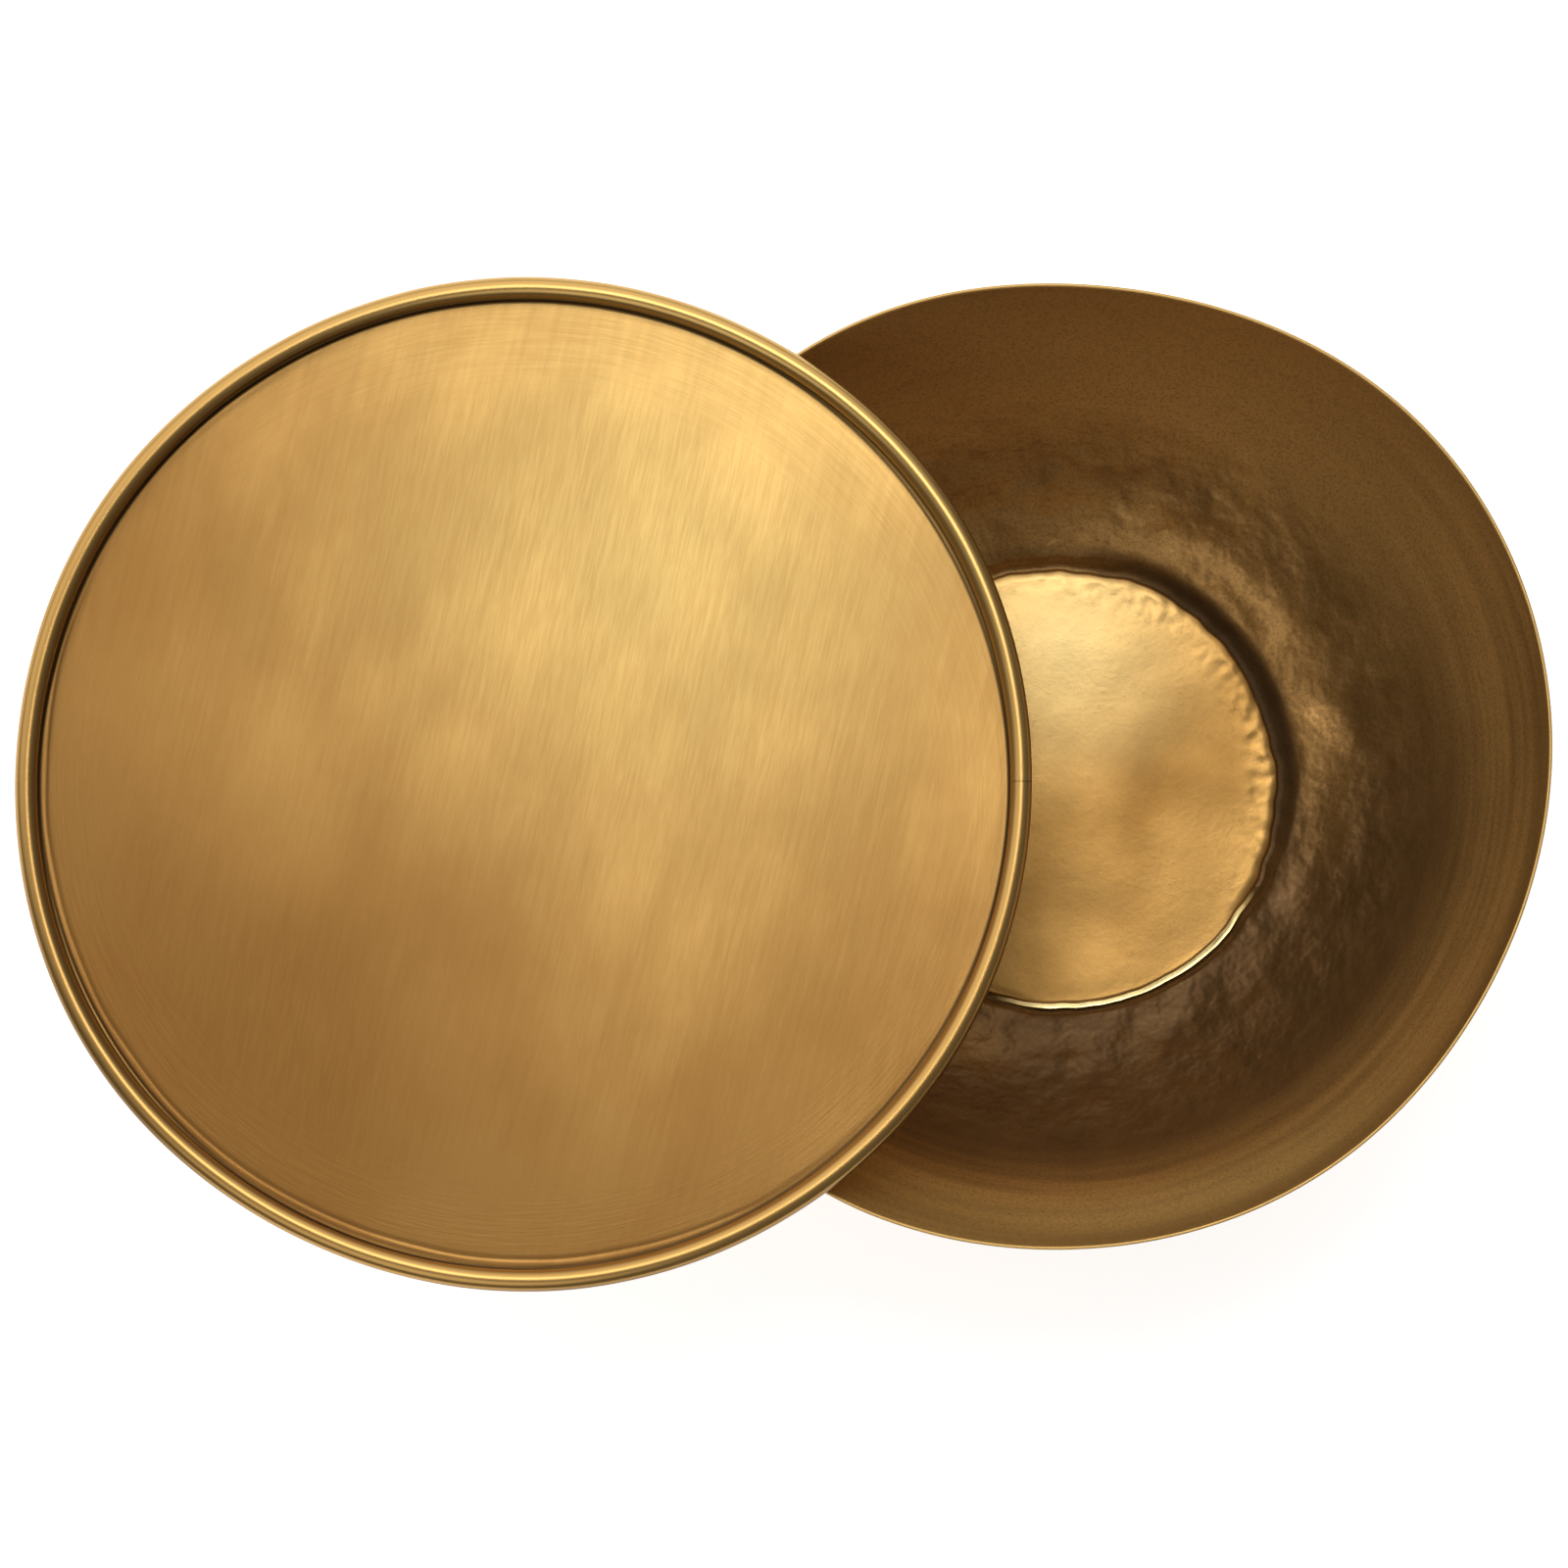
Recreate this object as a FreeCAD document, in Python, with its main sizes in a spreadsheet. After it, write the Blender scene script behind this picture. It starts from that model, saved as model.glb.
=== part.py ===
import FreeCAD, Part
import Sketcher
import math
import os
import re

# A hand-raised brass bowl on a flared foot, with a round wired-edge tray for a lid.
# The tray turns on an upright pin inside the bowl's wall.
# Frame: millimetres, +Z up, origin at the centre of the foot's underside.
# The joint's zero is the tray swung open; +swing_angle brings it over the bowl.

doc = FreeCAD.newDocument("SwivelTrayBowl")
sheet = doc.addObject("Spreadsheet::Sheet", "Sizes")

SIZES = [
    # bowl
    ("bowl_rim_radius", 219, "outside edge of the bowl's rim"),
    ("bowl_depth", 141, "floor's top to the rim"),
    ("bowl_sheet", 1.2, "raised sheet of the bowl's wall"),
    ("wall_slope", 30, "degrees, where the wall leaves the cove"),
    ("floor_radius", 104, "round floor plate"),
    ("floor_sheet", 1.2, "floor plate's thickness"),
    ("lip_lap", 10, "how far the wall's lip reaches under the floor plate"),
    ("seam_gap", 1, "floor plate's edge to the wall's corner"),
    ("cove_run", 4.5, "short steep cove round the floor, its width"),
    ("cove_rise", 4.5, "the cove's height"),
    ("seam_climb", 2.5, "how far the braze runs up the cove"),
    # foot
    ("foot_height", 31, "top of the base pad to the wall's lip"),
    ("foot_base_radius", 140, "outside of the foot's hem"),
    ("foot_top_inset", 4, "floor plate's edge in to the foot's top edge"),
    ("foot_curve", 60, "radius of the foot's hollow flare"),
    ("foot_hem", 6, "height of the upright hem"),
    ("foot_sheet", 1.5, "foot's thickness"),
    ("foot_braze", 3, "leg of the braze under the bowl"),
    ("plate_thick", 3, "steel base plate"),
    ("pad_thick", 3, "rubber base pad"),
    # tray
    ("tray_overhang", 9.5, "tray's edge beyond the bowl's rim when shut"),
    ("tray_sheet", 1.2, "tray's thickness"),
    ("tray_well", 8, "panel's top to the middle of the bead"),
    ("tray_corner", 4, "inner radius where the panel turns up"),
    ("bead_radius", 4.85, "rolled edge over its wire"),
    ("tray_gap", 1, "bowl's rim to the tray's underside"),
    ("swing_angle", 86, "degrees from open to shut"),
    ("pivot_azimuth", 135, "degrees, where the pin stands in the bowl"),
    ("pivot_inset", 40, "bowl's rim in to the pin's axis"),
    # pivot
    ("pin_radius", 6, "pivot pin"),
    ("running_clearance", 0.03, "pin to bush, radial"),
    ("bush_wall", 1.97, "bush wall"),
    ("bush_flange", 1.5, "bush flange thickness"),
    ("bush_space", 11, "grease space between the bushes"),
    ("tube_wall", 4, "pivot tube wall"),
    ("washer_thick", 1, "thrust washer"),
    ("washer_bore_gap", 0.3, "thrust washer's bore over the pin, radial"),
    ("face_gap", 0.05, "play at the thrust washer"),
    ("flange_thick", 3, "flange under the tray"),
    ("flange_edge", 6, "stop slot to the flange's edge"),
    ("stop_reach", 10, "pivot tube's outside to the stop peg's axis"),
    ("peg_radius", 2, "stop peg"),
    ("slot_clearance", 0.4, "peg to its slot, all round"),
    ("collar_edge", 3, "peg to the collar's edge"),
    ("collar_thick", 4, "collar that holds the peg"),
    ("collar_drop", 1, "tube's end to the collar's top"),
    ("peg_headroom", 0.6, "peg's tip to the tray's underside"),
    ("gusset_thick", 8, "plate between the tube and the wall"),
    ("gusset_rise", 3, "tube's foot to the gusset's lower edge"),
    ("wall_room", 6.5, "retaining washer to the wall below it"),
    ("end_play", 0.3, "retaining washer to the lower bush"),
    ("retainer_inset", 1, "tube's outside in to the retaining washer's edge"),
    ("retainer_thick", 2, "retaining washer"),
    ("screw_radius", 3, "retaining screw's thread"),
    ("screw_head_radius", 5, "retaining screw's head"),
    ("screw_head_height", 4, "retaining screw's head"),
    ("screw_length", 12, "thread in the pin"),
]
for row, (alias, value, note) in enumerate(SIZES, start=1):
    sheet.set(f"A{row}", note)
    sheet.set(f"B{row}", str(value))
    sheet.setAlias(f"B{row}", alias)
doc.recompute()

# Sizes that follow from the ones above, each written once as an expression.
FORMULAS = {
    # heights of the bowl
    "hem_z": "pad_thick",
    "lip_z": "pad_thick + foot_height",
    "seat_z": "lip_z + bowl_sheet",
    "floor_z": "seat_z + floor_sheet",
    "rim_z": "floor_z + bowl_depth",
    # the wall: a straight cove from the floor's corner, then an arc to the rim's inner edge
    "corner_x": "floor_radius + seam_gap",
    "cove_slope": "atan2(cove_rise; cove_run)",
    "wall_foot": "corner_x + cove_run",
    "foot_z": "seat_z + cove_rise",
    "wall_run": "bowl_rim_radius - bowl_sheet - wall_foot",
    "wall_rise": "rim_z - foot_z",
    "wall_turn": "atan2(wall_rise; wall_run) - wall_slope * 1deg",
    "wall_curve": "hypot(wall_run; wall_rise) / (2 * sin(wall_turn))",
    "arc_x": "wall_foot - wall_curve * sin(wall_slope)",
    "arc_z": "foot_z + wall_curve * cos(wall_slope)",
    "skin_curve": "wall_curve + bowl_sheet",
    "skin_corner": "corner_x + bowl_sheet * tan(cove_slope / 2)",
    "skin_foot": "wall_foot + bowl_sheet * sin(wall_slope)",
    "skin_foot_z": "foot_z - bowl_sheet * cos(wall_slope)",
    "skin_rim": "arc_x + sqrt(pow(skin_curve; 2) - pow(arc_z - rim_z; 2))",
    # the pin
    "pivot_radius": "bowl_rim_radius - pivot_inset",
    "pivot_x": "pivot_radius * cos(pivot_azimuth)",
    "pivot_y": "pivot_radius * sin(pivot_azimuth)",
    "tray_x": "pivot_x - pivot_radius * cos(pivot_azimuth - swing_angle)",
    "tray_y": "pivot_y - pivot_radius * sin(pivot_azimuth - swing_angle)",
    "tray_z": "rim_z + tray_gap",
    "flange_z": "tray_z - flange_thick",
    "washer_z": "flange_z - face_gap - washer_thick",
    "tube_top": "washer_z - bush_flange",
    "bush_bore": "pin_radius + running_clearance",
    "bush_outer": "bush_bore + bush_wall",
    "tube_outer": "bush_outer + tube_wall",
    "wall_under_pin": "arc_z - sqrt(pow(wall_curve; 2) - pow(pivot_radius + tube_outer - arc_x; 2))",
    "tube_foot": "wall_under_pin + wall_room + retainer_thick + end_play + bush_flange",
    "tube_length": "tube_top - tube_foot",
    "bush_length": "(tube_length - bush_space) / 2",
    "pin_foot": "tube_foot - bush_flange - end_play",
    "retainer_z": "pin_foot - retainer_thick",
    "stop_radius": "tube_outer + stop_reach",
    "slot_half": "peg_radius + slot_clearance",
    "flange_radius": "stop_radius + slot_half + flange_edge",
    "collar_z": "tube_top - collar_drop - collar_thick",
    "collar_radius": "stop_radius + peg_radius + collar_edge",
    # the tray's section, about its own centre and underside
    "tray_radius": "bowl_rim_radius + tray_overhang",
    "bead_x": "tray_radius - bead_radius",
    "bead_z": "tray_sheet + tray_well",
    "wire_radius": "bead_radius - tray_sheet",
    "turn_x": "bead_x - bead_radius - tray_corner",
    "turn_z": "tray_corner + tray_sheet",
    "foot_top_radius": "floor_radius - foot_top_inset",
}


ALIASES = {alias for alias, value, note in SIZES}


def sized(text):
    """The expression with formulas written out and cells named with their sheet."""
    def swap(match):
        name = match.group(0)
        if name in FORMULAS:
            return f"({sized(FORMULAS[name])})"
        return f"Sizes.{name}" if name in ALIASES else name
    return re.sub(r"[a-z]+(?:_[a-z]+)+", swap, text)


def size(text):
    """The expression's value now, as a float."""
    value = sheet.evalExpression(sized(text))
    return float(getattr(value, "Value", value))


def bind(item, **sizes):
    """Binds properties of an object to expressions on the sheet."""
    for name, text in sizes.items():
        item.setExpression(name, sized(text))


def put(item, x="0", y="0", z="0"):
    """Binds an object's place to expressions on the sheet."""
    item.setExpression("Placement.Base.x", sized(x))
    item.setExpression("Placement.Base.y", sized(y))
    item.setExpression("Placement.Base.z", sized(z))


def aim(item, degrees):
    """Binds an object's turn about Z to an expression in degrees."""
    item.Placement.Rotation = FreeCAD.Rotation(FreeCAD.Vector(0, 0, 1), size(degrees))
    item.setExpression("Placement.Rotation.Angle", sized(degrees))


def arc_centre(start, end, radius):
    """Centre of the arc; a positive radius turns left going from start to end."""
    mid = (start + end) / 2
    half = (end - start).Length / 2
    along = (end - start).normalize()
    left = FreeCAD.Vector(-along.y, along.x, 0)
    reach = math.sqrt(max(radius * radius - half * half, 0.0))
    return mid + left * reach * (1 if radius > 0 else -1)


def revolved(label, corners):
    """A body turned about Z from a closed outline in the XZ plane.

    Each corner is (x, z) or (x, z, radius): with a radius, an arc leads from it to
    the next corner, turning left if the radius is positive.
    """
    body = doc.addObject("PartDesign::Body", label)
    body.Label = label
    sketch = body.newObject("Sketcher::SketchObject", label + "_section")
    plane = [f for f in body.Origin.OriginFeatures if f.Role == "XZ_Plane"][0]
    sketch.AttachmentSupport = (plane, [""])
    sketch.MapMode = "FlatFace"
    points = [FreeCAD.Vector(size(c[0]), size(c[1]), 0) for c in corners]
    count = len(corners)
    for i, corner in enumerate(corners):
        start, end = points[i], points[(i + 1) % count]
        if len(corner) == 2:
            sketch.addGeometry(Part.LineSegment(start, end), False)
            continue
        radius = size(corner[2])
        centre = arc_centre(start, end, radius)
        first, last = (start, end) if radius > 0 else (end, start)
        angles = [math.atan2(p.y - centre.y, p.x - centre.x) for p in (first, last)]
        circle = Part.Circle(centre, FreeCAD.Vector(0, 0, 1), abs(radius))
        sketch.addGeometry(Part.ArcOfCircle(circle, *angles), False)
    for i, corner in enumerate(corners):
        # a left-turning arc runs from its vertex 1 to its vertex 2, a right-turning one back
        heads = 2 if len(corner) == 3 and size(corner[2]) < 0 else 1
        nxt = corners[(i + 1) % count]
        meets = 2 if len(nxt) == 3 and size(nxt[2]) < 0 else 1
        sketch.addConstraint(Sketcher.Constraint("Coincident", i, 3 - heads, (i + 1) % count, meets))
        for kind, text in (("DistanceX", corner[0]), ("DistanceY", corner[1])):
            value = size(text)
            added = sketch.addConstraint(Sketcher.Constraint(kind, -1, 1, i, heads, value))
            sketch.setExpression(f"Constraints[{added}]", sized(text))
        if len(corner) == 3:
            added = sketch.addConstraint(Sketcher.Constraint("Radius", i, abs(size(corner[2]))))
            sketch.setExpression(f"Constraints[{added}]", sized(corner[2].lstrip("-")))
    turn = body.newObject("PartDesign::Revolution", label + "_turn")
    turn.Profile = sketch
    turn.ReferenceAxis = (sketch, ["V_Axis"])
    turn.Angle = 360
    body.Tip = turn
    doc.recompute()
    return body


def cylinder(label, radius, height, z="0", x="0", y="0"):
    item = doc.addObject("Part::Cylinder", label)
    bind(item, Radius=radius, Height=height)
    put(item, x, y, z)
    return item


def cut(label, base, tool):
    item = doc.addObject("Part::Cut", label)
    item.Label = label
    item.Base, item.Tool = base, tool
    return item


def ring(label, outer, inner, height, z="0"):
    """A flat ring about Z, standing at z."""
    blank = cylinder(label + "_blank", outer, height, z)
    bore = cylinder(label + "_bore", inner, height, z)
    return cut(label, blank, bore)


def fused(label, first, second):
    item = doc.addObject("Part::Fuse", label)
    item.Label = label
    item.Base, item.Tool = first, second
    return item


# ---- bowl: wall, floor plate and the braze between them
lip_inner = "floor_radius - lip_lap"
bowl_shell = revolved("bowl_shell", [
    (lip_inner, "lip_z"),
    ("skin_corner", "lip_z"),
    ("skin_foot", "skin_foot_z", "skin_curve"),
    ("skin_rim", "rim_z"),
    ("bowl_rim_radius - bowl_sheet", "rim_z", "-wall_curve"),
    ("wall_foot", "foot_z"),
    ("corner_x", "seat_z"),
    (lip_inner, "seat_z"),
])
bowl_floor = cylinder("bowl_floor", "floor_radius", "floor_sheet", "seat_z")
floor_seam = revolved("floor_seam", [
    ("floor_radius", "seat_z"),
    ("corner_x", "seat_z"),
    ("corner_x + seam_climb * cos(cove_slope)", "seat_z + seam_climb * sin(cove_slope)"),
    ("floor_radius", "floor_z"),
])

# ---- foot: hollow flare with an upright hem, closed by a steel plate over a rubber pad
flare_foot = "hem_z + foot_hem"
foot_ring = revolved("foot_ring", [
    ("foot_base_radius - foot_sheet", "hem_z"),
    ("foot_base_radius", "hem_z"),
    ("foot_base_radius", flare_foot, "-foot_curve"),
    ("foot_top_radius", "lip_z"),
    ("foot_top_radius - foot_sheet", "lip_z", "foot_curve + foot_sheet"),
    ("foot_base_radius - foot_sheet", f"{flare_foot} - foot_sheet / 2"),
])
foot_braze_ring = revolved("foot_braze_ring", [
    ("foot_top_radius - foot_sheet / 2", "lip_z"),
    ("foot_top_radius + foot_braze / 2", "lip_z - foot_braze * 0.8"),
    ("foot_top_radius + foot_braze", "lip_z"),
])
foot_seam = cut("foot_seam", foot_braze_ring, foot_ring)
base_plate = cylinder("base_plate", "foot_base_radius - foot_sheet", "plate_thick", "hem_z")
base_pad = cylinder("base_pad", "foot_base_radius", "pad_thick", "0")

# ---- pivot housing, brazed to the inside of the wall
pivot = dict(x="pivot_x", y="pivot_y")
pivot_tube = ring("pivot_tube", "tube_outer", "bush_outer", "tube_length", "tube_foot")
stop_collar_blank = ring("stop_collar_blank_ring", "collar_radius", "tube_outer", "collar_thick",
                         "collar_z")
peg_hole = cylinder("peg_hole", "peg_radius", "collar_thick", "collar_z", "stop_radius")
stop_collar = cut("stop_collar", stop_collar_blank, peg_hole)
stop_peg = cylinder("stop_peg", "peg_radius", "tray_z - peg_headroom - collar_z", "collar_z",
                    "stop_radius")
upper_bush = fused(
    "upper_bush",
    ring("upper_bush_sleeve", "bush_outer", "bush_bore", "bush_length", "tube_top - bush_length"),
    ring("upper_bush_head", "tube_outer", "bush_bore", "bush_flange", "tube_top"),
)
lower_bush = fused(
    "lower_bush",
    ring("lower_bush_sleeve", "bush_outer", "bush_bore", "bush_length", "tube_foot"),
    ring("lower_bush_head", "tube_outer", "bush_bore", "bush_flange", "tube_foot - bush_flange"),
)
thrust_washer = ring("thrust_washer", "tube_outer", "pin_radius + washer_bore_gap",
                     "washer_thick", "washer_z")

# The gusset is a radial plate, trimmed by the bowl's inside and by the tube.
cavity = revolved("bowl_cavity", [
    ("0", "seat_z"),
    ("corner_x", "seat_z"),
    ("wall_foot", "foot_z", "wall_curve"),
    ("bowl_rim_radius - bowl_sheet", "rim_z"),
    ("0", "rim_z"),
])
gusset_plate = doc.addObject("Part::Box", "gusset_plate")
bind(gusset_plate, Length="bowl_rim_radius - pivot_radius", Width="gusset_thick",
     Height="collar_z - tube_foot - gusset_rise")
put(gusset_plate, "pivot_radius", "-gusset_thick / 2", "tube_foot + gusset_rise")
gusset_inside = doc.addObject("Part::Common", "gusset_inside")
gusset_inside.Base, gusset_inside.Tool = gusset_plate, cavity
gusset_relief = cylinder("gusset_relief", "tube_outer", "tube_length", "tube_foot", "pivot_radius")
pivot_gusset = cut("pivot_gusset", gusset_inside, gusset_relief)

# ---- tray: flat panel turned up and rolled over a wire, about the tray's own centre
bead_dip = 110  # degrees below level where the roll ends, outside the upstand
cos_dip, sin_dip = f"cos({bead_dip})", f"sin({bead_dip})"
tray_panel = revolved("tray_panel", [
    ("0", "0"),
    ("turn_x", "0", "turn_z"),
    ("bead_x - wire_radius", "turn_z"),
    ("bead_x - wire_radius", "bead_z", "-wire_radius"),
    ("bead_x", "bead_z + wire_radius", "-wire_radius"),
    ("bead_x + wire_radius", "bead_z", "-wire_radius"),
    (f"bead_x + wire_radius * {cos_dip}", f"bead_z - wire_radius * {sin_dip}"),
    (f"bead_x + bead_radius * {cos_dip}", f"bead_z - bead_radius * {sin_dip}", "bead_radius"),
    ("tray_radius", "bead_z", "bead_radius"),
    ("bead_x", "bead_z + bead_radius", "bead_radius"),
    ("bead_x - bead_radius", "bead_z"),
    ("bead_x - bead_radius", "turn_z", "-tray_corner"),
    ("turn_x", "tray_sheet"),
    ("0", "tray_sheet"),
])
put(tray_panel, "tray_x", "tray_y", "tray_z")
rim_wire = doc.addObject("Part::Torus", "rim_wire")
bind(rim_wire, Radius1="bead_x", Radius2="wire_radius")
put(rim_wire, "tray_x", "tray_y", "tray_z + bead_z")

# ---- what turns with the tray at the pivot
# The slot lets the peg travel from its open end to its shut end.
slot = doc.addObject("Part::Cylinder", "slot_outer")
bind(slot, Radius="stop_radius + slot_half", Height="flange_thick", Angle="swing_angle")
put(slot, z="flange_z")
slot_core = cylinder("slot_core", "stop_radius - slot_half", "flange_thick", "flange_z")
slot_arc = cut("slot_arc", slot, slot_core)
slot_ends = [
    cylinder("slot_end_near", "slot_half", "flange_thick", "flange_z", "stop_radius"),
    cylinder("slot_end_far", "slot_half", "flange_thick", "flange_z",
             "stop_radius * cos(swing_angle)", "stop_radius * sin(swing_angle)"),
]
slot_whole = fused("slot_whole", fused("slot_part", slot_arc, slot_ends[0]), slot_ends[1])
flange_ring = ring("flange_ring", "flange_radius", "pin_radius", "flange_thick", "flange_z")
pivot_flange = cut("pivot_flange", flange_ring, slot_whole)
pin_blank = cylinder("pin_blank", "pin_radius", "tray_z - pin_foot", "pin_foot")
pin_thread = cylinder("pin_thread", "screw_radius", "screw_length", "pin_foot")
pivot_pin = cut("pivot_pin", pin_blank, pin_thread)
retaining_washer = ring("retaining_washer", "tube_outer - retainer_inset", "screw_radius",
                        "retainer_thick", "retainer_z")
retaining_screw = fused(
    "retaining_screw",
    cylinder("screw_head", "screw_head_radius", "screw_head_height",
             "retainer_z - screw_head_height"),
    cylinder("screw_thread", "screw_radius", "retainer_thick + screw_length", "retainer_z"),
)

# Everything about the pin is drawn round Z and stands at the pin's place.
for item in (pivot_tube, upper_bush, lower_bush, thrust_washer, pivot_pin,
             retaining_washer, retaining_screw, stop_collar, pivot_flange):
    put(item, "pivot_x", "pivot_y")
# The gusset, the collar and the peg point from the bowl's middle out through the pin.
# With the tray open, the peg is at the far end of the flange's slot.
stop_x = "(pivot_radius + stop_radius) * cos(pivot_azimuth)"
stop_y = "(pivot_radius + stop_radius) * sin(pivot_azimuth)"
put(stop_peg, stop_x, stop_y, "collar_z")
aim(pivot_gusset, "pivot_azimuth")
aim(stop_collar, "pivot_azimuth")
aim(pivot_flange, "pivot_azimuth - swing_angle")

NODES = [
    bowl_shell, bowl_floor, floor_seam, foot_ring, foot_seam, base_plate, base_pad,
    pivot_tube, pivot_gusset, stop_collar, stop_peg, upper_bush, lower_bush, thrust_washer,
    tray_panel, rim_wire, pivot_flange, pivot_pin, retaining_washer, retaining_screw,
]

doc.recompute()
for item in doc.Objects:
    if "Invalid" in item.State or "Error" in item.State:
        raise RuntimeError(f"{item.Label} did not build: {item.State}")
os.makedirs("parts", exist_ok=True)
for node in NODES:
    shape = node.Shape
    if shape.isNull() or not shape.isValid() or len(shape.Solids) != 1:
        raise RuntimeError(f"{node.Label} is not one valid solid")
    shape.exportStep(f"parts/{node.Label}.step")
    print(f"{node.Label:18s} {shape.Volume:12.1f} mm3")
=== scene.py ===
import math

import bmesh
import bpy
from bpy.props import FloatProperty, FloatVectorProperty, IntProperty, PointerProperty
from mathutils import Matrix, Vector, noise


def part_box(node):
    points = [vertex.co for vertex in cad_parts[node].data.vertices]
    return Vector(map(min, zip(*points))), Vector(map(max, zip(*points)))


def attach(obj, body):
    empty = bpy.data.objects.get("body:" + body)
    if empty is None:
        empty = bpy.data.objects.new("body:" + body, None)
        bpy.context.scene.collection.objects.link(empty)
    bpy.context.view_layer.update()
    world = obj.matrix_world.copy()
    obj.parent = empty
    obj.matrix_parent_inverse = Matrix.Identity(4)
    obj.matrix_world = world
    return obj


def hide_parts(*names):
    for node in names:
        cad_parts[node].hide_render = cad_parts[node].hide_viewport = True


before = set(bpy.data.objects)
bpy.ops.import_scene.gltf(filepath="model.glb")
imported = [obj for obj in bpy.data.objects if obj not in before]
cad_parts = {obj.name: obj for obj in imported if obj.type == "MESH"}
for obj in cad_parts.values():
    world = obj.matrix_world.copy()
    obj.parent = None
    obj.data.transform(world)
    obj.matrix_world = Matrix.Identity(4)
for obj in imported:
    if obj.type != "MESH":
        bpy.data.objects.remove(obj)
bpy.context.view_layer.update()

bl_info = {
    "name": "Lidded Brass Bowl",
    "version": (1, 0, 0),
    "blender": (4, 5, 0),
    "location": "3D View > Sidebar > Brass Bowl",
    "description": "Makes a hand-raised brass bowl with a swivelling tray lid over its fixed frame",
    "category": "Object",
}

MM = 0.001

# The frame's own places, in metres. The bowl's axis is Z.
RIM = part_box("bowl_shell")[1].z
FLOOR_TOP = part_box("bowl_floor")[1].z
FLOOR_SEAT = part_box("bowl_floor")[0].z
TRAY_LOW, TRAY_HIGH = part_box("tray_panel")
TRAY_AXIS = ((TRAY_LOW + TRAY_HIGH) / 2).to_2d()
TRAY_RADIUS = (TRAY_HIGH.x - TRAY_LOW.x) / 2

SEAM_FRONT = -68        # degrees: the side on which the braze stands proud and bright


def linear(colour):
    """A linear RGBA colour from an sRGB hex value."""
    parts = [int(colour[i:i + 2], 16) / 255 for i in (1, 3, 5)]
    return tuple(c / 12.92 if c <= 0.04045 else ((c + 0.055) / 1.055) ** 2.4 for c in parts) + (1.0,)


def smooth(x, low, high):
    """0 below low, 1 above high, and an S curve between."""
    t = min(max((x - low) / (high - low), 0.0), 1.0)
    return t * t * (3 - 2 * t)


# ---------------------------------------------------------------- materials

MATH, MIX, NOISE = "ShaderNodeMath", "ShaderNodeMix", "ShaderNodeTexNoise"
RANGE, MAPPING, BUMP = "ShaderNodeMapRange", "ShaderNodeMapping", "ShaderNodeBump"
SOFT = {"interpolation_type": "SMOOTHSTEP"}
TINT = {"data_type": "RGBA", "out": 2}
ADD, TIMES, LESS = {"operation": "ADD"}, {"operation": "MULTIPLY"}, {"operation": "SUBTRACT"}
COSINE = {"operation": "COSINE"}


def add(tree, kind, inputs=(), out=0, **settings):
    """Adds a node with its settings, feeds its inputs from sockets or values, and returns one output."""
    node = tree.nodes.new(kind)
    for name, value in settings.items():
        setattr(node, name, value)
    for name, value in (inputs.items() if isinstance(inputs, dict) else enumerate(inputs)):
        if isinstance(value, bpy.types.NodeSocket):
            tree.links.new(value, node.inputs[name])
        else:
            node.inputs[name].default_value = value
    return node.outputs[out]


def new_material(name, metallic, roughness):
    """An empty material with its shader; returns the material, its tree and the shader."""
    material = bpy.data.materials.new(name)
    material.use_nodes = True
    tree = material.node_tree
    shader = tree.nodes["Principled BSDF"]
    shader.inputs["Metallic"].default_value = metallic
    shader.inputs["Roughness"].default_value = roughness
    return material, tree, shader


def coat_with(tree, shader, colour, rough, normal):
    """Feeds the shader its finished colour, roughness and surface."""
    tree.links.new(colour, shader.inputs["Base Color"])
    tree.links.new(rough, shader.inputs["Roughness"])
    tree.links.new(normal, shader.inputs["Normal"])


def place_round(tree, centre):
    """A point's place about a vertical axis: the point itself, its radius, its angle and its height."""
    place = add(tree, "ShaderNodeTexCoord", out="Object")
    about = add(tree, MAPPING, {"Location": (-centre[0], -centre[1], 0), "Vector": place})
    x, y, z = add(tree, "ShaderNodeSeparateXYZ", (about,)).node.outputs
    x_square, y_square = add(tree, MATH, (x, x), **TIMES), add(tree, MATH, (y, y), **TIMES)
    squares = add(tree, MATH, (x_square, y_square), **ADD)
    radius = add(tree, MATH, (squares,), operation="SQRT")
    angle = add(tree, MATH, (y, x), operation="ARCTAN2")
    return about, radius, angle, z


def toward(tree, angle, degrees):
    """1 on the side of the piece that faces this many degrees, falling to -1 on the far side."""
    return add(tree, MATH, (add(tree, MATH, (angle, math.radians(degrees)), **LESS),), **COSINE)


def brush_strokes(tree, vector, across_mm, along_mm, turn=0.0, detail=2.0):
    """The marks of a brush worked along Y, of the given width and length."""
    laid = add(tree, MAPPING, {"Rotation": (0, 0, turn), "Vector": vector})
    stretch = (1 / (across_mm * MM), 1 / (along_mm * MM), 1 / (along_mm * MM))
    drawn = add(tree, MAPPING, {"Scale": stretch, "Vector": laid})
    return add(tree, NOISE, {"Scale": 1.0, "Detail": detail, "Roughness": 0.55, "Vector": drawn})


def brush_rings(tree, radius, angle, z, across_mm, along_deg, detail=2.0):
    """The marks of a brush worked round and round an axis."""
    across = add(tree, MATH, (add(tree, MATH, (radius, z), **ADD), across_mm * MM), operation="DIVIDE")
    # The angle is laid out on a circle, so that the marks meet at half a turn.
    reach = math.degrees(1) / along_deg
    turn_x = add(tree, MATH, (add(tree, MATH, (angle,), **COSINE), reach), **TIMES)
    turn_y = add(tree, MATH, (add(tree, MATH, (angle,), operation="SINE"), reach), **TIMES)
    joined = add(tree, "ShaderNodeCombineXYZ", (turn_x, turn_y, across))
    return add(tree, NOISE, {"Scale": 1.0, "Detail": detail, "Roughness": 0.55, "Vector": joined})


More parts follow.
